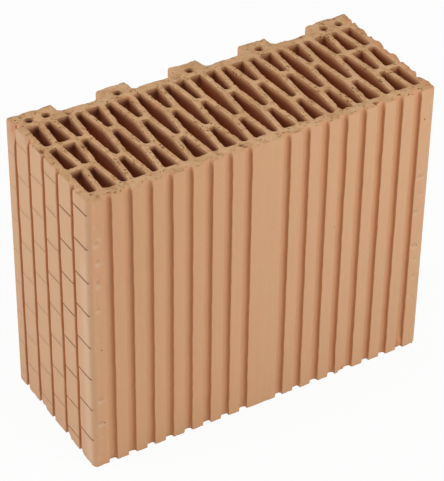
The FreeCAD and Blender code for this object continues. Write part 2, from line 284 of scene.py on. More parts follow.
@dataclass(frozen=True)
class FiredClay:
    """The finish of the block: extruded skin, ground beds, dark pores and broken edges, with painted shade
    in the grooves, cuts, pits, dents and holes, and painted light on the grooves' floors, towards the right
    end, deep in the holes, on a pale band and below the dents.

    Depths are in metres, scales in patches for each metre, and bands are where a pattern starts and ends.
    """

    skin: Colour = srgb(209, 161, 121)
    skin_blush: Colour = srgb(211, 159, 121)
    skin_sand: Colour = srgb(207, 162, 120)
    skin_end: Colour = srgb(208, 167, 133)
    # Painted light: the skin's colour at the right end, where more light falls.
    skin_painted_light: Colour = srgb(214, 171, 133)
    # Pale colour for real scuffs, for a band down the ends' front strip that is partly worn and partly
    # painted highlight, and for a painted highlight below each dent.
    rubbed_and_highlit: Colour = srgb(217, 182, 151)
    # A faint painted light: the grooves' floors a little lighter than the skin, and redder towards the right
    # end.
    groove: Colour = srgb(211, 162, 122)
    groove_red: Colour = srgb(213, 160, 119)
    # Painted shade on the grooves' side walls.
    flank_shade: Colour = srgb(207, 148, 103)
    # Painted shade deep in the end grooves.
    root: Colour = srgb(203, 142, 98)
    # Painted shade in the cut lines of the ends, in the bed's pits and in the dents.
    cut_shade: Colour = srgb(114, 61, 32)
    bed: Colour = srgb(202, 159, 116)
    bed_dust: Colour = srgb(213, 171, 129)
    bed_burn: Colour = srgb(183, 137, 93)
    pore: Colour = srgb(86, 48, 26)
    # The holes' walls: a pale rim, darker and redder walls below it, partly painted shade, and lighter walls
    # deeper in, which is painted light.
    bore_rim: Colour = srgb(186, 142, 102)
    bore: Colour = srgb(136, 80, 54)
    # Painted light: the holes' walls at the right end.
    bore_painted_light: Colour = srgb(164, 102, 65)
    bore_deep_painted_light: Colour = srgb(208, 122, 71)
    broken: Colour = srgb(199, 134, 88)
    fresh: Colour = srgb(205, 132, 90)
    roughness: float = 0.92
    specular: float = 0.2
    rim_depth: float = 4.5 * MM
    deep_from: float = 5.0 * MM
    deep_to: float = 13.0 * MM
    pore_depth: float = 5.0 * MM
    flank_depth: float = 9.0 * MM
    # Painted light towards the right end: how far it reaches either side of the middle, and its share on the
    # skin.
    painted_light_span: float = 150.0 * MM
    painted_light_share: float = 0.6
    grain_scale: float = 420.0
    grain_shade: float = 0.07
    bed_grain_shade: float = 0.1
    streak_stretch: Triple = (260.0, 260.0, 9.0)
    streak_shade: float = 0.08
    sand_stretch: Triple = (40.0, 40.0, 12.0)
    sand_band: Band = (0.5, 0.72)
    blush_scale: float = 22.0
    blush_band: Band = (0.42, 0.66)
    break_scale: float = 300.0
    break_gain: float = 1.4
    break_least: float = 0.2
    break_on_skin: float = 0.05
    break_on_bed: float = 0.65
    fresh_scale: float = 260.0
    fresh_gain: float = 1.3
    fresh_least: float = 0.35
    fresh_share: float = 0.5
    dust_scale: float = 45.0
    dust_band: Band = (0.38, 0.62)
    burn_scale: float = 190.0
    burn_band: Band = (0.48, 0.72)
    swirl_scale: float = 700.0
    swirl_reach: float = 1.2 * MM
    pore_scale: float = 540.0
    pore_least: float = 0.13
    pore_spread: float = 0.33
    pore_edge: float = 9.0
    patch_scale: float = 55.0
    patch_least: float = 0.3
    patch_band: Band = (0.4, 0.62)
    patch_growth: Band = (-0.2, 0.7)
    scuff_scale: float = 230.0
    scuff_stretch: Triple = (1.0, 1.0, 0.6)
    scuff_band: Band = (0.6, 0.72)
    scuff_share: float = 0.55
    stray_scale: float = 16.0
    stray_band: Band = (0.5, 0.7)
    stray_share: float = 0.12
    crumb_scale: float = 900.0
    grain_relief: float = 0.5
    streak_relief: float = 0.25
    scuff_relief: float = 0.9
    crumb_relief: float = 0.7
    pore_relief: float = 0.9
    bump_strength: float = 0.5
    bump_height: float = 0.8 * MM
    speck_share: float = 0.6
    specks: tuple[tuple[float, ...], ...] = (
        mm(141.0, -62.4, 222.0, 1.1),
        mm(143.0, -62.4, 102.0, 0.8),
        mm(-141.0, -62.4, 113.0, 0.9),
        mm(-140.0, -62.4, 42.0, 1.0),
        mm(62.0, -62.4, 150.0, 0.7),
    )

    def material(self, height: float) -> bpy.types.Material:
        """Build the material.

        Args:
            height: The block's height, from which the depth below a bed is found for the holes' painted
                shade and light.

        Returns:
            The material, which reads the block's own coordinates and the marks on its mesh.
        """
        graph = ShaderGraph("fired_clay")
        place = graph.node("ShaderNodeTexCoord", {}, {}, "Object")
        upright = graph.node("ShaderNodeSeparateXYZ", {}, {"Vector": place}, "Z")
        bed = graph.attribute("bed")
        bore = graph.attribute("bore")
        broken = graph.attribute("broken")
        grain = graph.noise(place, self.grain_scale, 4.0, 0.65)
        streak = graph.noise(graph.stretched(place, self.streak_stretch), 1.0, 3.0)

        scuffs = self.scuffs(graph, place)
        pores = self.pores(graph, place)
        depth = upright.least(height - upright)
        # Painted light: from 0 at the left end to 1 at the right end, where more light falls.
        painted_light_right = upright.other("X").ramp(-self.painted_light_span, self.painted_light_span)
        skin = self.skin_colour(graph, place, streak, scuffs, depth, painted_light_right)
        colour = graph.mix(bore, skin, self.bore_colour(graph, depth, pores, painted_light_right))
        colour = graph.mix(bed, colour, self.bed_colour(graph, place, pores))
        crumbled = (broken * self.break_gain).clamped()
        crumbled = crumbled * (self.break_least + graph.noise(place, self.break_scale)).clamped()
        colour = graph.mix(crumbled * (self.break_on_skin + self.break_on_bed * bed), colour, self.broken)
        fresh = (graph.attribute("chip") * self.fresh_gain).clamped()
        fresh = fresh * (self.fresh_least + graph.noise(place, self.fresh_scale)).clamped()
        colour = graph.mix(fresh * self.fresh_share, colour, self.fresh)
        # Painted shade in the cut lines, the pits and the dents.
        colour = graph.mix(graph.attribute("cut_shade"), colour, self.cut_shade)
        colour = graph.mix(self.speckled(graph, place) * self.speck_share, colour, self.pore)
        colour = graph.shade(colour, 1.0 + (grain - 0.5) * (self.grain_shade + self.bed_grain_shade * bed))

        crumb = graph.noise(place, self.crumb_scale, 2.0)
        on_skin = (self.streak_relief * streak - self.scuff_relief * scuffs) * (1.0 - bed)
        on_bed = (self.crumb_relief * crumb - self.pore_relief * pores) * bed
        relief = self.grain_relief * grain + on_skin + on_bed
        bump = graph.node(
            "ShaderNodeBump",
            {},
            {"Height": relief, "Strength": self.bump_strength, "Distance": self.bump_height},
        )
        inputs = {
            "Base Color": colour,
            "Roughness": self.roughness,
            "Specular IOR Level": self.specular,
            "Normal": bump,
        }
        graph.finish(graph.node("ShaderNodeBsdfPrincipled", {}, inputs))
        return graph.material

    def skin_colour(
        self, graph: ShaderGraph, place: Socket, streak: Socket, scuffs: Socket, depth: Socket, painted_light_right: Socket
    ) -> Socket:
        """Colour the extruded sides, streaked along the way they were pressed, with painted shade on the
        grooves' walls and roots, and painted light on the grooves' floors, towards the right end and on a
        pale band.

        Args:
            graph: The material.
            place: Where on the piece.
            streak: The fine streaks.
            scuffs: The small scuffs.
            depth: How far below a bed.
            painted_light_right: The share of painted light, from 0 at the left end to 1 at the right end.

        Returns:
            The colour.
        """
        sand = graph.noise(graph.stretched(place, self.sand_stretch), 1.0, 2.0)
        blush = graph.noise(place, self.blush_scale)
        skin = graph.mix(blush.ramp(*self.blush_band), self.skin, self.skin_blush)
        skin = graph.mix(sand.ramp(*self.sand_band), skin, self.skin_sand)
        # Painted light: the skin lighter towards the right end.
        skin = graph.mix(painted_light_right * self.painted_light_share, skin, self.skin_painted_light)
        skin = graph.mix(graph.attribute("end"), skin, self.skin_end)
        # A pale band down the ends' front strip, partly worn and partly painted highlight, and painted
        # highlights below the dents.
        skin = graph.mix(graph.attribute("pale_band_and_highlight"), skin, self.rubbed_and_highlit)
        skin = graph.mix(scuffs * self.scuff_share, skin, self.rubbed_and_highlit)
        # Faint painted light: the grooves' floors a little lighter than the skin, redder towards the right
        # end.
        groove = graph.mix(painted_light_right, self.groove, self.groove_red)
        skin = graph.mix(graph.attribute("groove"), skin, groove)
        # Painted shade on the grooves' side walls, fading out near the beds and on broken clay.
        sound = (1.0 - graph.attribute("broken")) * depth.ramp(0.0, self.flank_depth)
        skin = graph.mix(graph.attribute("flank_shade") * sound, skin, self.flank_shade)
        # Painted shade deep in the end grooves.
        skin = graph.mix(graph.attribute("root") * sound, skin, self.root)
        return graph.shade(skin, 1.0 - 0.5 * self.streak_shade + self.streak_shade * streak)

    def bore_colour(self, graph: ShaderGraph, depth: Socket, pores: Socket, painted_light_right: Socket) -> Socket:
        """Colour the holes' walls: pale at the rims, darker and redder below them, partly as painted shade,
        and lighter again deeper in as painted light.

        Args:
            graph: The material.
            depth: How far below a bed.
            pores: The pores, which show near the beds.
            painted_light_right: The share of painted light, from 0 at the left end to 1 at the right end.

        Returns:
            The colour.
        """
        # Painted light: the holes' walls lighter towards the right end.
        bore_with_painted_light = graph.mix(painted_light_right, self.bore, self.bore_painted_light)
        # Painted shade: the walls darker below the pale rim.
        colour = graph.mix(depth.ramp(0.0, self.rim_depth), self.bore_rim, bore_with_painted_light)
        # Painted light: the walls lighter deep in the holes.
        colour = graph.mix(depth.ramp(self.deep_from, self.deep_to), colour, self.bore_deep_painted_light)
        return graph.mix(pores * (1.0 - depth.ramp(0.0, self.pore_depth)), colour, self.pore)

    def bed_colour(self, graph: ShaderGraph, place: Socket, pores: Socket) -> Socket:
        """Colour the ground beds, mottled and full of pores.

        Args:
            graph: The material.
            place: Where on the piece.
            pores: The pores.

        Returns:
            The colour.
        """
        dust = graph.noise(place, self.dust_scale)
        burn = graph.noise(place, self.burn_scale, 4.0, 0.6)
        colour = graph.mix(dust.ramp(*self.dust_band), self.bed, self.bed_dust)
        colour = graph.mix(burn.ramp(*self.burn_band), colour, self.bed_burn)
        return graph.mix(pores, colour, self.pore)

    def pores(self, graph: ShaderGraph, place: Socket) -> Socket:
        """Scatter the pores that burnt-out sawdust leaves in a ground face.

        Args:
            graph: The material.
            place: Where on the piece.

        Returns:
            1 in a pore and 0 elsewhere.
        """
        swirl = graph.node("ShaderNodeTexNoise", {}, {"Vector": place, "Scale": self.swirl_scale}, "Color")
        reach = (self.swirl_reach, self.swirl_reach, self.swirl_reach)
        settings = {"operation": "MULTIPLY_ADD"}
        bent = graph.node("ShaderNodeVectorMath", settings, {0: swirl, 1: reach, 2: place})
        cells = {"Vector": bent, "Scale": self.pore_scale}
        distance = graph.node("ShaderNodeTexVoronoi", {}, cells, "Distance")
        chance = graph.node("ShaderNodeSeparateColor", {}, {"Color": distance.other("Color")}, "Red")
        radius = self.pore_least + self.pore_spread * chance * chance
        crowd = graph.noise(place, self.patch_scale).ramp(*self.patch_band)
        patch = self.patch_least + (1.0 - self.patch_least) * crowd
        return ((radius * patch.ramp(*self.patch_growth) - distance) * self.pore_edge).clamped() * patch

    def speckled(self, graph: ShaderGraph, place: Socket) -> Socket:
        """Put single dark specks on the sides.

        Args:
            graph: The material.
            place: Where on the piece.

        Returns:
            1 in a speck and 0 elsewhere.
        """
        settings = {"operation": "DISTANCE"}
        mask: Any = 0.0
        for *spot, radius in self.specks:
            away = graph.node("ShaderNodeVectorMath", settings, {0: place, 1: spot}, "Value")
            mask = 1.0 - away.ramp(0.5 * radius, radius) + mask
        return mask.clamped()

    def scuffs(self, graph: ShaderGraph, place: Socket) -> Socket:
        """Scatter small scuff marks, worn pale by rubbing, nearly all on the outer strips of the grooved
        face.

        Args:
            graph: The material.
            place: Where on the piece.

        Returns:
            1 in a scuff and 0 elsewhere.
        """
        stray = graph.noise(place, self.stray_scale).ramp(*self.stray_band) * self.stray_share
        patch = (stray + graph.attribute("scuffed")).clamped()
        marks = graph.noise(graph.stretched(place, self.scuff_stretch), self.scuff_scale, 2.0)
        return marks.ramp(*self.scuff_band) * patch


class MeshBench:
    """One mesh on the bench, worked on with edit-mode operators."""

    def __init__(self, piece: bpy.types.Object) -> None:
        """Take up a piece.

        Args:
            piece: The object whose mesh is worked on.
        """
        self.piece = piece

    def __enter__(self) -> "MeshBench":
        """Deselect everything else and enter edit mode on the piece's faces."""
        bpy.ops.object.select_all(action="DESELECT")
        self.piece.select_set(True)
        bpy.context.view_layer.objects.active = self.piece
        bpy.ops.object.mode_set(mode="EDIT")
        bpy.ops.mesh.select_mode(type="FACE")
        return self

    def __exit__(self, *_: object) -> None:
        """Leave edit mode with everything shown."""
        bpy.ops.mesh.reveal(select=False)
        bpy.ops.object.mode_set(mode="OBJECT")

    @property
    def shape(self) -> bmesh.types.BMesh:
        """Give the mesh as it stands in edit mode."""
        return bmesh.from_edit_mesh(self.piece.data)

    def select(self, test: Callable[[bmesh.types.BMFace], bool]) -> None:
        """Select the faces that pass a test.

        Args:
            test: Tells whether a face is wanted.
        """
        bpy.ops.mesh.select_all(action="DESELECT")
        for face in self.shape.faces:
            if test(face):
                face.select_set(True)
        bmesh.update_edit_mesh(self.piece.data, loop_triangles=False, destructive=False)

    @contextmanager
    def only(self, test: Callable[[bmesh.types.BMFace], bool]) -> Iterator[None]:
        """Work on the faces that pass a test, with the others hidden.

        Args:
            test: Tells whether a face is wanted.

        Yields:
            Nothing.
        """
        self.select(test)
        bpy.ops.mesh.hide(unselected=True)
        yield
        bpy.ops.mesh.reveal(select=False)

    def cut(self, axis: Axis, places: Sequence[float]) -> None:
        """Cut the shown faces with planes across one axis.

        Args:
            axis: The axis.
            places: Where along it, in metres.
        """
        for place in places:
            bpy.ops.mesh.select_all(action="SELECT")
            bpy.ops.mesh.bisect(plane_co=axis.point(place), plane_no=axis.point(1.0), use_fill=False)


@dataclass(frozen=True)
class EndFace:
    """The end faces' grooves, and the cuts made across the strips between them."""

    first_groove: float = -38.55 * MM
    last_groove: float = 49.55 * MM
    grooves: int = 5
    mouth: float = 5.5 * MM
    lowest_score: float = 11.6 * MM
    score_gap: float = 15.0 * MM
    score_width: float = 1.9 * MM
    score_floor: float = 1.1 * MM
    score_depth: tuple[float, ...] = mm(1.0, 0.85, 0.5, 0.35, 0.3, 0.2)
    score_ends: float = 0.65
    score_skin: float = 1.5 * MM
    skin_depth: float = 2.0 * MM
    drag: float = 1.6 * MM
    drag_run: float = 7.0 * MM
    drag_depth: float = 1.6
    drag_fade: float = 0.5

    def strips(self, low: float, high: float) -> list[tuple[float, float]]:
        """Give the strips between the grooves.

        Args:
            low: Where the face starts along Y.
            high: Where it ends.

        Returns:
            The two edges of each strip, from the grooved long face on.
        """
        step = (self.last_groove - self.first_groove) / (self.grooves - 1)
        edges = [low]
        for index in range(self.grooves):
            middle = self.first_groove + index * step
            edges += [middle - self.mouth / 2, middle + self.mouth / 2]
        edges.append(high)
        return list(zip(edges[0::2], edges[1::2]))

    def scores(self, strip: int, top: float) -> list[float]:
        """Give the heights of the cuts on a strip, which lie in a brick bond.

        Args:
            strip: The strip's number.
            top: The block's height.

        Returns:
            The heights.
        """
        start = self.lowest_score + (1 - strip % 2) * self.score_gap
        count = int((top - start) / (2 * self.score_gap)) + 1
        return [start + 2 * self.score_gap * index for index in range(count)]


class WornMesh:
    """The points of a mesh, with how far wear moves each, how it marks it, and the painted shade on it."""

    def __init__(self, mesh: bpy.types.Mesh) -> None:
        """Read the points of a mesh that carries its zones.

        Args:
            mesh: The mesh.
        """
        self.mesh = mesh
        count = len(mesh.vertices)
        places = np.zeros(count * 3, np.float32)
        mesh.vertices.foreach_get("co", places)
        self.places = places.reshape(count, 3).astype(float)
        self.moves = np.zeros((count, 3))
        self.broken = np.zeros(count)
        # Painted shade in the cut lines, the pits and the dents.
        self.shade_marks = np.zeros(count)
        self.chipped = np.zeros(count)
        self.zone = np.zeros(len(mesh.polygons), np.int32)
        mesh.attributes["zone"].data.foreach_get("value", self.zone)

    def write(self, low: Vector, high: Vector) -> None:
        """Move the points, held inside a box, and leave the marks on the mesh.

        Args:
            low: The box's lowest corner.
            high: Its highest corner.
        """
        places = np.clip(self.places + self.moves, np.array(low), np.array(high))
        self.mesh.vertices.foreach_set("co", places.astype(np.float32).ravel())
        for name, values in (("broken", self.broken), ("cut_shade", self.shade_marks), ("chip", self.chipped)):
            mark = self.mesh.attributes.new(name, "FLOAT", "POINT")
            mark.data.foreach_set("value", np.clip(values, 0, 1).astype(np.float32))
        self.mesh.update()


@dataclass(frozen=True)
class Chip:
    """A place where clay has broken away, or a lump was pressed in where the push is outwards."""

    place: Triple
    reach: Triple
    push: Triple
    fresh: float = 1.0
    falloff: float = 1.5

    def share(self, places: np.ndarray) -> np.ndarray:
        """Give how much of the push each point takes, from 0 to 1."""
        away = (places - np.array(self.place)) / np.array(self.reach)
        return np.clip(1.0 - (away**2).sum(1), 0.0, 1.0) ** self.falloff


@dataclass(frozen=True)
class Dent:
    """A small dent in an outer strip of the grooved face, with painted shade in it and a painted highlight
    below it.
    """

    x: float
    z: float
    wide: float
    tall: float
    deep: float
    reach: float = 3.0 * MM

    def chip(self, front: float) -> Chip:
        """Give the dent as a chip, with no fresh clay, in the face at a place along Y."""
        return Chip((self.x, front, self.z), (self.wide, self.reach, self.tall), (0.0, self.deep, 0.0), 0.0)


@dataclass(frozen=True)
class RimWear:
    """How the rims of a bed are rounded and broken into ragged chips."""

    rounding: float = 0.45 * MM
    rag: float = 0.85 * MM
    reach: float = 2.4 * MM
    falloff: float = 1.3
    sink: float = 0.75
    mark: float = 0.1
    pin_row: float = 43.0 * MM
    pin_share: float = 0.35
    outline_rag: float = 1.6 * MM
    outline_patch: float = 8.0 * MM
    foot_rag: float = 0.9 * MM
    foot_least: float = 0.2
    worn_patch: float = 28.0 * MM
    worn_shift: Triple = (3.0, 50.0, 1.0)
    worn_level: float = 0.7
    worn_gain: float = 1.4
    worn_least: float = 0.25
    coarse_patch: float = 5.0 * MM
    fine_patch: float = 1.9 * MM
    fine_shift: Triple = (40.0, 7.0, 3.0)
    level: float = 0.1
    gain: float = 0.7
    most: float = 1.3

    def bite(self, point: Vector) -> float:
        """Give how far a rim is broken at a point.

        Args:
            point: The point.

        Returns:
            The share of the rag, from 0 to the most.
        """
        worn = noise.noise(point / self.worn_patch + Vector(self.worn_shift))
        coarse = noise.noise(point / self.coarse_patch)
        fine = noise.noise(point / self.fine_patch + Vector(self.fine_shift))
        depth = max(0.0, self.level + self.gain * coarse + self.gain * fine)
        depth *= min(self.most, max(self.worn_least, self.worn_level + self.worn_gain * worn))
        return min(self.most, depth)


@dataclass(frozen=True)
class EdgeWear:
    """How the upper edge of the right end is worn down in scallops."""

    band: float = 10.0 * MM
    drop: float = 1.5 * MM
    pull: float = 0.3
    falloff: float = 1.5
    level: float = 0.3
    long_patch: float = 17.0 * MM
    long_row: float = 4.5
    long_gain: float = 0.5
    short_patch: float = 6.0 * MM
    short_row: float = 8.5
    short_depth: float = 9.0 * MM
    short_gain: float = 1.3
    corner_least: float = 0.15
    corner_run: float = 16.0 * MM
    mark: float = 0.9
    fresh: float = 0.8
    fresh_gain: float = 0.6


@dataclass(frozen=True)
class BedPits:
    """The small pits in the ground upper bed, and the places of a few larger ones."""

    count: int = 260
    seed: int = 11
    depth: float = 0.9 * MM
    least: float = 0.3
    # The strength of the painted shade in a pit.
    mark: float = 0.8
    large_gain: float = 1.4
    large_reach: float = 1.6
    large: tuple[tuple[float, ...], ...] = (
        mm(-147.0, 11.0),
        mm(-118.0, 1.0),
        mm(-107.0, 45.0),
        mm(-19.0, -55.0),
        mm(-17.0, -59.5),
        mm(97.0, -58.0),
    )


@dataclass(frozen=True)
class SkinWave:
    """How the strips and the grooves' edges waver along their height."""

    size: float = 0.3 * MM
    level: float = 0.5
    drift_long: float = 9.0 * MM
    drift_tall: float = 16.0 * MM
    drift_row: float = 0.5
    sway_patch: float = 7.0 * MM
    sway_row: float = 9.5

    def shift(self, along: float, height: float) -> tuple[float, float]:
        """Give how far a point of a face is shifted.

        Args:
            along: Its place along the face.
            height: Its height.

        Returns:
            How far it sways along the face, and how far it sinks in.
        """
        drift = noise.noise(Vector((along / self.drift_long, height / self.drift_tall, self.drift_row)))
        sway = noise.noise(Vector((along / self.sway_patch, height / self.sway_patch, self.sway_row)))
        return self.size * sway, self.size * max(0.0, self.level + drift)


@dataclass
class ClayBlock:
    """The block after firing: the CAD solid with the marks of cutting, firing and handling, and the masks of
    its painted light and shade.
    """

    finish: FiredClay
    end_face: EndFace
    rims: RimWear = RimWear()
    right_edge: EdgeWear = EdgeWear()
    pits: BedPits = BedPits()
    wave: SkinWave = SkinWave()
    low: Vector = field(init=False)
    high: Vector = field(init=False)
    merge: float = 0.001 * MM
    flat_angle: float = math.radians(0.05)
    sharp_angle: float = math.radians(50.0)
    upright_share: float = 0.9
    rim_bands: tuple[float, ...] = mm(0.7, 2.2, 6.0)
    grid: float = 1.6 * MM
    skin_step: float = 8.0 * MM
    row: float = 6.0 * MM
    long_lip: float = 0.45 * MM
    end_lip: float = 0.6 * MM
    lip_facets: int = 3
    groove_depth: float = 3.2 * MM
    groove_spare: float = 1.1
    corner: float = 4.5 * MM
    on_face: float = 1.0 * MM
    root_run: float = 1.4 * MM
    # A pale band down the ends' front strip, partly worn and partly painted highlight: its place, reach,
    # run, top and strength.
    pale_band_place: float = 7.8 * MM
    pale_band_reach: float = 3.4 * MM
    pale_band_run: float = 30.0 * MM
    pale_band_top: float = 0.85
    pale_band_level: float = 0.75
    pale_band_gain: float = 0.5
    scuff_place: float = 141.0 * MM
    scuff_reach: float = 5.0 * MM
    strip: float = 13.0 * MM
    dent_plane: float = 0.1 * MM
    # Painted shade in the dents and a painted highlight below each.
    dent_shade: float = 0.2
    dent_highlight: float = 0.8
    dent_highlight_height: float = 0.7
    dent_cuts: int = 3
    dents: tuple[Dent, ...] = (
        Dent(*mm(141.0, 169.0, 4.5, 1.8, 0.9)),
        Dent(*mm(143.0, 153.0, 1.9, 1.8, 0.6)),
        Dent(*mm(139.5, 136.0, 4.5, 1.8, 0.6)),
        Dent(*mm(140.0, 103.0, 4.5, 2.2, 1.0)),
        Dent(*mm(142.0, 89.0, 2.2, 2.0, 0.7)),
        Dent(*mm(142.0, 72.0, 1.9, 1.8, 0.6)),
        Dent(*mm(-143.0, 211.0, 2.0, 2.4, 0.6)),
        Dent(*mm(-142.5, 195.0, 2.2, 2.8, 0.7)),
        Dent(*mm(-142.5, 176.0, 1.9, 3.4, 0.6)),
        Dent(*mm(-143.0, 152.0, 1.9, 2.0, 0.6)),
        Dent(*mm(-143.0, 66.0, 3.2, 2.0, 0.8)),
        Dent(*mm(-143.5, 43.0, 3.6, 2.2, 0.9)),
    )

    @property
    def groove_limit(self) -> float:
        """Give the depth within which a point still belongs to a groove."""
        return self.groove_spare * self.groove_depth

    def build(self, node: bpy.types.Object) -> bpy.types.Object:
        """Make the block's piece.

        Args:
            node: The block's CAD object, which is only read.

        Returns:
            The finished piece.
        """
        self.low, self.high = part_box(NODE)
        piece = self.copy_of(node)
        self.cut_fine(piece)
        self.mark_zones(piece)
        self.wear(piece)
        self.dress(piece)
        return piece

    def copy_of(self, node: bpy.types.Object) -> bpy.types.Object:
        """Copy the CAD mesh into a new piece, and join its loose triangles to whole faces.

        Args:
            node: The CAD object.

        Returns:
            The new piece.
        """
        piece = bpy.data.objects.new("fired_block", node.data.copy())
        bpy.context.scene.collection.objects.link(piece)
        with MeshBench(piece) as bench:
            bpy.ops.mesh.select_all(action="SELECT")
            bpy.ops.mesh.remove_doubles(threshold=self.merge)
            bpy.ops.mesh.dissolve_limited(angle_limit=self.flat_angle)
            self.round_lips(bench)
        return piece

    def round_lips(self, bench: MeshBench) -> None:
        """Round the sharp lips of the grooves and tongues, more on the ends than on the long faces.

        Args:
            bench: The block in edit mode.
        """

        def on_long_face(point: Vector) -> bool:
            """Tell whether a point is on one of the long faces."""
            return min(point.y - self.low.y, self.high.y - point.y) < TOUCH

        def on_end(point: Vector) -> bool:
            """Tell whether a point is on one of the ends."""
            return self.high.x - abs(point.x) < TOUCH

        bpy.ops.mesh.select_mode(type="EDGE")
        for on_side, radius in ((on_long_face, self.long_lip), (on_end, self.end_lip)):
            bpy.ops.mesh.select_all(action="DESELECT")
            for edge in bench.shape.edges:
                foot, head = edge.verts
                upright = abs(head.co.z - foot.co.z) > self.upright_share * self.high.z
                sharp = len(edge.link_faces) == 2 and edge.calc_face_angle() > self.sharp_angle
                if upright and sharp and on_side(foot.co):
                    edge.select_set(True)
            bmesh.update_edit_mesh(bench.piece.data)
            bpy.ops.mesh.bevel(offset=radius, segments=self.lip_facets, affect="EDGES")
            bpy.ops.mesh.region_to_loop()
            bpy.ops.mesh.mark_sharp()
        bpy.ops.mesh.select_mode(type="FACE")

    def outer_walls(self, shape: bmesh.types.BMesh) -> set[int]:
        """Find the walls of the outline, as against those of the holes.

        Args:
            shape: The block's mesh.

        Returns:
            The numbers of the faces of the widest ring of walls.
        """
        shape.faces.ensure_lookup_table()
        waiting = {face.index for face in shape.faces if abs(face.normal.z) < LEVEL}
        widest: set[int] = set()
        reach = 0.0
        while waiting:
            front = [waiting.pop()]
            ring = set(front)
            while front:
                face = shape.faces[front.pop()]
                new = {other.index for edge in face.edges for other in edge.link_faces} & waiting
                waiting -= new
                ring |= new
                front += new
            across = [vert.co.x for index in ring for vert in shape.faces[index].verts]
            if max(across) - min(across) > reach:
                reach = max(across) - min(across)
                widest = ring
        return widest

    def cut_fine(self, piece: bpy.types.Object) -> None:
        """Cut the mesh finely where the clay is worn, and leave it coarse deep in the holes.

        Args:
            piece: The block.
        """
        top = self.high.z
        rim = top - self.rim_bands[-1]
        foot = self.rim_bands[-1]
        with MeshBench(piece) as bench:
            shape = bench.shape
            outer = self.outer_walls(shape)
            layer = shape.faces.layers.int.new("zone")
            for face in shape.faces:
                wall = Zone.SKIN if face.index in outer else Zone.BORE
                face[layer] = (wall if abs(face.normal.z) < LEVEL else Zone.BED).value
            bmesh.update_edit_mesh(piece.data)

            def is_skin(face: bmesh.types.BMFace) -> bool:
                """Tell whether a face is part of the outline's walls."""
                return face[bench.shape.faces.layers.int["zone"]] == Zone.SKIN.value

            def height(face: bmesh.types.BMFace) -> float:
                """Give the height of a face's middle."""
                return face.calc_center_bounds().z

            with bench.only(lambda face: abs(face.normal.z) < LEVEL):
                bench.cut(Axis.Z, [top - band for band in self.rim_bands])
            with bench.only(is_skin):
                bench.cut(Axis.Z, self.rim_bands)
            with bench.only(lambda face: is_skin(face) and foot < height(face) < rim):
                bench.cut(Axis.Z, steps(foot, rim, self.row))
                bench.cut(Axis.X, steps(self.low.x, self.high.x, self.skin_step))
                bench.cut(Axis.Y, steps(self.low.y, self.high.y, self.skin_step))
            with bench.only(lambda face: height(face) > rim or (is_skin(face) and height(face) < foot)):
                bench.cut(Axis.X, steps(self.low.x, self.high.x, self.grid))
                bench.cut(Axis.Y, steps(self.low.y, self.high.y, self.grid))
            self.cut_scores(bench)
            bench.select(self.is_dented)
            bpy.ops.mesh.subdivide(number_cuts=self.dent_cuts)

    def is_dented(self, face: bmesh.types.BMFace) -> bool:
        """Tell whether a face is on an outer strip of the grooved face, which gets dents.

        Args:
            face: The face.

        Returns:
            Whether it is.
        """
        middle = face.calc_center_bounds()
        from_end = self.high.x - abs(middle.x)
        beside = min(middle.z, self.high.z - middle.z) - self.rim_bands[-1]
        in_plane = middle.y - self.low.y < self.dent_plane
        return in_plane and self.corner < from_end < self.strip and beside > 0

    def cut_scores(self, bench: MeshBench) -> None:
        """Cut the lines along which the end faces are scored.

        Args:
            bench: The block in edit mode.
        """
        edge = self.end_face.score_width / 2
        floor = self.end_face.score_floor / 2
        reach = self.high.x - self.end_face.skin_depth
        strips = self.end_face.strips(self.low.y, self.high.y)
        for parity in (0, 1):
            mine = strips[parity::2]

            def on_strips(face: bmesh.types.BMFace) -> bool:
                """Tell whether a face is on one of these strips.

                Args:
                    face: The face.

                Returns:
                    Whether it is.
                """
                middle = face.calc_center_bounds()
                inside = any(low - self.on_face < middle.y < high for low, high in mine)
                return inside and abs(face.normal.x) > FACING and abs(middle.x) > reach

            with bench.only(on_strips):
                for level in self.end_face.scores(parity, self.high.z):
                    bench.cut(Axis.Z, [level - edge, level - floor, level + floor, level + edge])

    def mark_zones(self, piece: bpy.types.Object) -> None:
        """Mark on the mesh which surface each part belongs to, for the finish to read.

        Args:
            piece: The block.
        """
        mesh = piece.data
        zone = np.zeros(len(mesh.polygons), np.int32)
        mesh.attributes["zone"].data.foreach_get("value", zone)
        for name, kind in (("bed", Zone.BED), ("bore", Zone.BORE)):
            mark = mesh.attributes.new(name, "FLOAT", "FACE")
            mark.data.foreach_set("value", (zone == kind.value).astype(np.float32))
        # Painted shade on the grooves' side walls.
        mark = mesh.attributes.new("flank_shade", "FLOAT", "FACE")
        mark.data.foreach_set("value", np.array([self.is_flank(face) for face in mesh.polygons], np.float32))
        places = np.array([vert.co for vert in mesh.vertices])
        from_end = self.high.x - np.abs(places[:, 0])
        from_front = places[:, 1] - self.low.y
        depth = np.array([self.depth_in_groove(vert.co) for vert in mesh.vertices])
        scuffed = np.exp(-(((np.abs(places[:, 0]) - self.scuff_place) / self.scuff_reach) ** 2))
        marks = {
            "groove": depth / self.groove_depth,
            "end": 1.0 - from_end / self.corner,
            # Painted shade deep in the end grooves.
            "root": (from_end - self.on_face) / self.root_run * (depth > 0) * (from_front > self.corner),
            # The pale band, partly painted highlight, and painted highlights below the dents.
            "pale_band_and_highlight": self.rubbed_and_highlit(places, from_end, from_front),
            "scuffed": scuffed * (from_front < self.on_face),
        }
        for name, values in marks.items():
            mark = mesh.attributes.new(name, "FLOAT", "POINT")
            mark.data.foreach_set("value", np.clip(values, 0, 1).astype(np.float32))

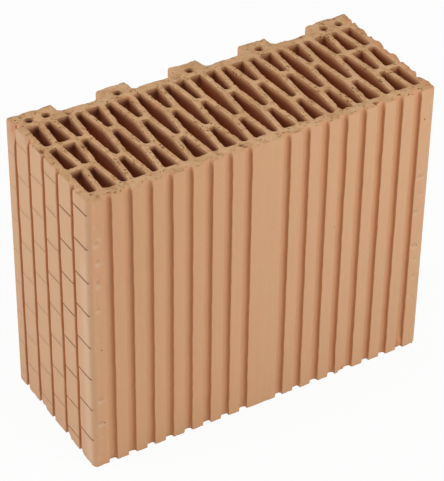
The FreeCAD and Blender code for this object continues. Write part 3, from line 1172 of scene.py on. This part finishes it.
    def rubbed_and_highlit(self, places: np.ndarray, from_end: np.ndarray, from_front: np.ndarray) -> np.ndarray:
        """Find where the skin is painted pale: a band down the ends' front strip, partly worn by rubbing and
        partly painted highlight, and a painted highlight below each dent.

        Args:
            places: The mesh's points.
            from_end: How far each is from the nearer end.
            from_front: How far each is from the grooved face.

        Returns:
            How far each point is rubbed.
        """
        cloud = np.array([noise.noise(Vector((0.0, 0.0, place[2] / self.pale_band_run))) for place in places])
        # The pale band: partly worn skin, partly painted highlight.
        pale_band_and_highlight = np.exp(-(((from_front - self.pale_band_place) / self.pale_band_reach) ** 2)) * (from_end < self.on_face)
        under = np.clip((self.pale_band_top * self.high.z - places[:, 2]) / self.pale_band_run, 0, 1)
        pale_band_and_highlight *= under * (self.pale_band_level + self.pale_band_gain * cloud)
        # A painted highlight below each dent.
        for dent in self.dents:
            beside = (places[:, 0] - dent.x) / dent.wide
            below = (places[:, 2] - dent.z + dent.tall) / (self.dent_highlight_height * dent.tall)
            painted_highlight = self.dent_highlight * np.exp(-(beside**2 + below**2))
            pale_band_and_highlight = np.maximum(pale_band_and_highlight, painted_highlight * (from_front < self.on_face))
        return pale_band_and_highlight

    def is_flank(self, face: bpy.types.MeshPolygon) -> bool:
        """Tell whether a face is a side wall of a groove.

        Args:
            face: The face.

        Returns:
            Whether it is.
        """
        if self.depth_in_groove(face.center) < self.end_lip:
            return False
        across = face.normal.x if face.center.y - self.low.y < self.groove_limit else face.normal.y
        return abs(across) > FACING

    def depth_in_groove(self, point: Vector) -> float:
        """Give how far a point lies below the grooved faces.

        Args:
            point: The point.

        Returns:
            The depth, or 0 off the grooves.
        """
        from_front = point.y - self.low.y
        from_end = min(point.x - self.low.x, self.high.x - point.x)
        if from_front < self.groove_limit and from_end > self.corner:
            return from_front
        inside = from_front > self.corner and self.high.y - point.y > self.corner
        return from_end if inside and from_end < self.groove_limit else 0.0

    def wear(self, piece: bpy.types.Object) -> None:
        """Move the mesh's points as cutting, firing and handling left them.

        Args:
            piece: The block.
        """
        worn = WornMesh(piece.data)
        self.rag_rims(worn, self.high.z)
        self.rag_rims(worn, self.low.z)
        self.wear_right_edge(worn)
        self.close_end_grooves(worn)
        self.score_strips(worn)
        self.pit_bed(worn)
        self.wave_skin(worn)
        for chip in self.chips():
            share = chip.share(worn.places)
            worn.moves += share[:, None] * np.array(chip.push)
            worn.chipped = np.maximum(worn.chipped, chip.fresh * share)
            # Painted shade in the dents.
            worn.shade_marks = np.maximum(worn.shade_marks, (1.0 - chip.fresh) * self.dent_shade * share)
        worn.write(self.low, self.high)

    def chips(self) -> list[Chip]:
        """List the dents, and the larger chips and lumps, whose place, reach and push are in millimetres.

        Returns:
            The chips, each at its place on the block.
        """
        left, right = self.low.x / MM, self.high.x / MM
        front, top = self.low.y / MM, self.high.z / MM
        broken = (
            ((left, 53.0, top - 6.0), (5.0, 4.0, 13.0), (2.6, 0.8, 0.0)),
            ((left, 30.5, top), (4.0, 5.0, 5.0), (1.8, 0.0, -1.2)),
            ((133.2, front + 3.2, 6.0), (4.5, 5.0, 8.0), (0.0, -3.2, 0.0)),
            ((right, -42.0, top), (6.0, 6.0, 5.0), (-1.2, 0.0, -0.9)),
            ((right, -1.0, top), (6.0, 6.0, 5.0), (-1.3, 0.0, -1.0)),
            ((-46.0, 24.0, top), (4.0, 4.0, 4.0), (0.6, 0.0, -0.9)),
            ((-59.0, 41.0, top), (4.0, 3.0, 4.0), (0.5, 0.0, -0.8)),
            ((left, 22.0, 0.0), (5.0, 5.0, 4.0), (1.4, 0.0, 0.0)),
            ((left, -20.0, 0.0), (5.0, 4.0, 4.0), (1.3, 0.0, 0.0)),
            ((left, -41.0, 0.0), (5.0, 3.0, 3.0), (1.2, 0.0, 0.0)),
            ((78.0, front, 0.0), (5.0, 5.0, 5.0), (0.0, 2.0, 0.0)),
            ((-66.0, front, 0.0), (4.0, 4.0, 4.0), (0.0, 1.5, 0.0)),
        )
        dents = [dent.chip(self.low.y) for dent in self.dents]
        return dents + [Chip(mm(*place), mm(*reach), mm(*push)) for place, reach, push in broken]

    def find_rims(self, worn: WornMesh, level: float) -> tuple[dict[int, Vector], set[int], set[int]]:
        """Find the points on the rims of a bed, on the lower bed those of the outline alone.

        Args:
            worn: The mesh's points.
            level: The height of the bed.

        Returns:
            The way from each point to the void, the points round the pin holes and those of the outline.
        """
        kept = {Zone.SKIN.value, Zone.BORE.value} if level > self.low.z else {Zone.SKIN.value}
        beside = np.abs(worn.places[:, 2] - level)
        to_void: dict[int, Vector] = {}
        pin_rims: set[int] = set()
        outline: set[int] = set()
        for face in worn.mesh.polygons:
            if worn.zone[face.index] not in kept:
                continue
            for index in face.vertices:
                if beside[index] < TOUCH:
                    to_void[index] = to_void.get(index, Vector()) + face.normal
                    if worn.zone[face.index] == Zone.SKIN.value:
                        outline.add(index)
                    elif face.center.y > self.rims.pin_row:
                        pin_rims.add(index)
        for normal in to_void.values():
            normal.normalize()
        return to_void, pin_rims, outline

    def rag_rims(self, worn: WornMesh, level: float) -> None:
        """Round the rims of a bed and break them into ragged chips.

        Args:
            worn: The mesh's points.
            level: The height of the bed.
        """
        rims = self.rims
        to_void, pin_rims, outline = self.find_rims(worn, level)
        tree = kdtree.KDTree(len(to_void))
        for index in to_void:
            tree.insert(worn.places[index], index)
        tree.balance()
        for index in np.flatnonzero(np.abs(worn.places[:, 2] - level) < 2 * rims.reach):
            point = Vector(worn.places[index])
            found = tree.find_range(point, rims.reach)
            if not found:
                continue
            shares = [(1.0 - distance / rims.reach) ** 2 for _, _, distance in found]
            away = Vector()
            for (_, rim, _), share in zip(found, shares):
                away -= share * to_void[rim]
            away /= max(sum(shares), TINY)
            near = (1.0 - min(distance for _, _, distance in found) / rims.reach) ** rims.falloff
            bite = rims.bite(point)
            if level > self.low.z:
                amount = (rims.rounding + rims.rag * bite) * near
                if found[0][1] in pin_rims:
                    amount *= rims.pin_share
                elif found[0][1] in outline:
                    amount += rims.outline_rag * near * max(0.0, noise.noise(point / rims.outline_patch))
                worn.moves[index] += (away.x * amount, away.y * amount, -rims.sink * amount)
            else:
                amount = rims.foot_rag * (rims.foot_least + bite) * near
                worn.moves[index] += (away.x * amount, away.y * amount, 0.0)
            worn.broken[index] = min(1.0, rims.mark + bite) * near

    def wear_right_edge(self, worn: WornMesh) -> None:
        """Wear the upper edge of the right end down in long soft scallops.

        Args:
            worn: The mesh's points.
        """
        edge = self.right_edge
        x, y, z = worn.places.T
        across = np.clip((x - self.high.x) / edge.band + 1.0, 0, 1)
        under = np.clip((z - self.high.z) / edge.band + 1.0, 0, 1)
        for index in np.flatnonzero((across > 0) & (under > 0)):
            long = noise.noise(Vector((y[index] / edge.long_patch, edge.long_row, 0.0)))
            spot = (y[index] / edge.short_patch, edge.short_row, x[index] / edge.short_depth)
            short = noise.noise(Vector(spot))
            scallop = max(0.0, edge.level + edge.long_gain * long + edge.short_gain * short)
            corner = min(1.0, edge.corner_least + (y[index] - self.low.y) / edge.corner_run)
            drop = edge.drop * across[index] ** edge.falloff * scallop * corner
            inward = edge.pull * drop * across[index] * under[index]
            worn.moves[index] += (-inward, 0.0, -drop * under[index])
            worn.broken[index] = max(worn.broken[index], min(1.0, edge.mark * drop / MM) * under[index])
            worn.chipped[index] = (edge.fresh + edge.fresh_gain * short) * across[index] * under[index]

    def close_end_grooves(self, worn: WornMesh) -> None:
        """Drag the rear walls of the end grooves forward a little, as the die smeared them.

        Args:
            worn: The mesh's points.
        """
        face = self.end_face
        x, y, _ = worn.places.T
        from_end = self.high.x - np.abs(x)
        held = (face.drag_depth * self.groove_depth - from_end) / (face.drag_fade * self.groove_depth)
        held = np.clip(held, 0, 1) * (y > self.low.y + self.corner)
        strips = face.strips(self.low.y, self.high.y)
        for (_, near), (far, _) in zip(strips[:-1], strips[1:]):
            middle = (near + far) / 2
            share = np.clip((y - middle) / (far - middle), 0, 1)
            share *= np.clip(1 - (y - far) / face.drag_run, 0, 1)
            worn.moves[:, 1] -= face.drag * share * held

    def score_strips(self, worn: WornMesh) -> None:
        """Press the cut lines into the end faces, with painted shade along them.

        Args:
            worn: The mesh's points.
        """
        face = self.end_face
        x, y, z = worn.places.T
        skin = np.abs(x) > self.high.x - face.score_skin
        for number, (low, high) in enumerate(face.strips(self.low.y, self.high.y)):
            on_strip = skin & (y > low - TOUCH) & (y < high + TOUCH)
            for level in face.scores(number, self.high.z):
                line = np.flatnonzero(on_strip & (np.abs(z - level) < face.score_floor / 2 + TOUCH))
                share = np.clip((y[line] - low) / (high - low), 0, 1)
                depth = face.score_ends + (1.0 - face.score_ends) * np.sin(math.pi * share)
                depth *= np.clip(1.0 - (self.high.x - np.abs(x[line])) / face.score_skin, 0, 1)
                worn.moves[line, 0] -= np.sign(x[line]) * depth * face.score_depth[number]
                # Painted shade along the cut line.
                worn.shade_marks[line] = depth * face.score_depth[number] / face.score_depth[0]

    def pit_bed(self, worn: WornMesh) -> None:
        """Sink small pits into the ground upper bed, with painted shade in them.

        Args:
            worn: The mesh's points.
        """
        pits = self.pits
        chooser = np.random.default_rng(pits.seed)
        bed = np.flatnonzero(worn.places[:, 2] > self.high.z - TOUCH)
        sunk = chooser.choice(bed, pits.count, replace=False)
        depths = chooser.uniform(pits.least, 1.0, pits.count)
        worn.moves[sunk, 2] -= pits.depth * depths
        # Painted shade in each pit, and below in the larger ones.
        worn.shade_marks[sunk] = pits.mark * depths
        for place in pits.large:
            away = np.hypot(worn.places[bed, 0] - place[0], worn.places[bed, 1] - place[1])
            share = np.clip(pits.large_reach - away / self.grid, 0, 1)
            worn.moves[bed, 2] -= pits.depth * pits.large_gain * share
            worn.shade_marks[bed] = np.maximum(worn.shade_marks[bed], share)

    def wave_skin(self, worn: WornMesh) -> None:
        """Let the strips and the grooves' edges waver a little along their height.

        Args:
            worn: The mesh's points.
        """
        x, y, z = worn.places.T
        from_front = y - self.low.y
        from_end = self.high.x - np.abs(x)
        front = (from_front < self.groove_limit) & (from_end > self.corner)
        ends = (from_end < self.groove_limit) & (from_front > self.corner)
        ends &= self.high.y - y > self.corner
        for index in np.flatnonzero(front | ends):
            sway, inward = self.wave.shift(x[index] if front[index] else y[index], z[index])
            if front[index]:
                worn.moves[index] += (sway, inward, 0.0)
            else:
                worn.moves[index] += (-math.copysign(inward, x[index]), sway, 0.0)

    def dress(self, piece: bpy.types.Object) -> None:
        """Give the block its finish and its place in the frame.

        Args:
            piece: The block.
        """
        bpy.ops.object.select_all(action="DESELECT")
        piece.select_set(True)
        bpy.context.view_layer.objects.active = piece
        bpy.ops.mesh.customdata_custom_splitnormals_clear()
        bpy.ops.object.shade_smooth_by_angle(angle=self.sharp_angle)
        piece.data.materials.clear()
        piece.data.materials.append(self.finish.material(self.high.z))
        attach(piece, BODY)
        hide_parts(NODE)


@dataclass(frozen=True)
class Softbox:
    """A large round soft lamp."""

    name: str
    place: Triple
    size: float
    power: float


@dataclass
class Studio:
    """The pale floor, the soft light and the camera."""

    eye: Triple = (-0.7045, -1.135, 1.1131)
    forward: Triple = (0.42335, 0.68196, -0.59641)
    right: Triple = (0.85412, -0.51994, 0.01177)
    focal_pixels: float = 2134.9
    sensor: float = 36.0
    floor_size: float = 12.0
    floor_colour: Colour = (0.9, 0.9, 0.9, 1.0)
    floor_white: float = 0.93
    white: Colour = (1.0, 1.0, 1.0, 1.0)
    world_strength: float = 0.45
    lamp_aim: Triple = (0.0, 0.0, 0.12)
    lamps: tuple[Softbox, ...] = (
        Softbox("right_softbox", (0.6, -1.0, 0.93), 1.0, 9.2),
        Softbox("left_softbox", (-1.5, 0.6, 1.05), 1.2, 15.4),
    )

    def build(self) -> None:
        """Set up floor, lamps, world and camera."""
        self.lay_floor()
        self.light()
        self.aim_camera()
        bpy.context.scene.view_settings.view_transform = "Standard"

    def lay_floor(self) -> None:
        """Lay a white floor that is bright to the camera and in reflections, and keeps a soft shadow."""
        bpy.ops.object.select_all(action="DESELECT")
        bpy.ops.mesh.primitive_plane_add(size=self.floor_size, location=(0.0, 0.0, 0.0))
        floor = bpy.context.object
        floor.name = "studio_floor"
        graph = ShaderGraph("studio_floor")
        path = graph.node("ShaderNodeLightPath", {}, {}, "Is Camera Ray")
        seen = (path + path.other("Is Glossy Ray") + path.other("Is Transmission Ray")).clamped()
        plain = graph.node("ShaderNodeBsdfDiffuse", {}, {"Color": self.floor_colour})
        white = graph.node("ShaderNodeEmission", {}, {"Color": self.white, "Strength": 1.0})
        mixed = graph.node("ShaderNodeMixShader", {}, {0: seen * self.floor_white, 1: plain, 2: white})
        graph.finish(mixed)
        floor.data.materials.append(graph.material)

    def light(self) -> None:
        """Light the block from a pale world and two large soft lamps."""
        world = bpy.data.worlds.new("studio_world")
        bpy.context.scene.world = world
        world.use_nodes = True
        background = world.node_tree.nodes["Background"]
        background.inputs["Color"].default_value = self.white
        background.inputs["Strength"].default_value = self.world_strength
        for softbox in self.lamps:
            bpy.ops.object.light_add(type="AREA", location=softbox.place)
            lamp = bpy.context.object
            lamp.name = softbox.name
            lamp.data.shape = "DISK"
            lamp.data.size = softbox.size
            lamp.data.energy = softbox.power
            aim = Vector(self.lamp_aim) - lamp.location
            lamp.rotation_euler = aim.to_track_quat("-Z", "Y").to_euler()

    def aim_camera(self) -> None:
        """Put the camera where the photograph was taken from."""
        forward = Vector(self.forward).normalized()
        right = Vector(self.right)
        right = (right - right.dot(forward) * forward).normalized()
        up = right.cross(forward)
        data = bpy.data.cameras.new("photo_camera")
        data.sensor_fit = "VERTICAL"
        data.sensor_height = self.sensor
        data.lens = self.focal_pixels * self.sensor / PHOTO_HEIGHT
        camera = bpy.data.objects.new("photo_camera", data)
        bpy.context.scene.collection.objects.link(camera)
        turn = Matrix((right, up, -forward)).transposed()
        camera.matrix_world = Matrix.Translation(self.eye) @ turn.to_4x4()
        bpy.context.scene.camera = camera


def main() -> None:
    """Build the block and the studio."""
    logging.basicConfig(level=logging.INFO, format="%(message)s")
    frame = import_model()
    piece = ClayBlock(FiredClay(), EndFace()).build(frame["nodes"][NODE])
    LOG.info("%s: %d faces", piece.name, len(piece.data.polygons))
    Studio().build()


if __name__ == "__main__":
    main()
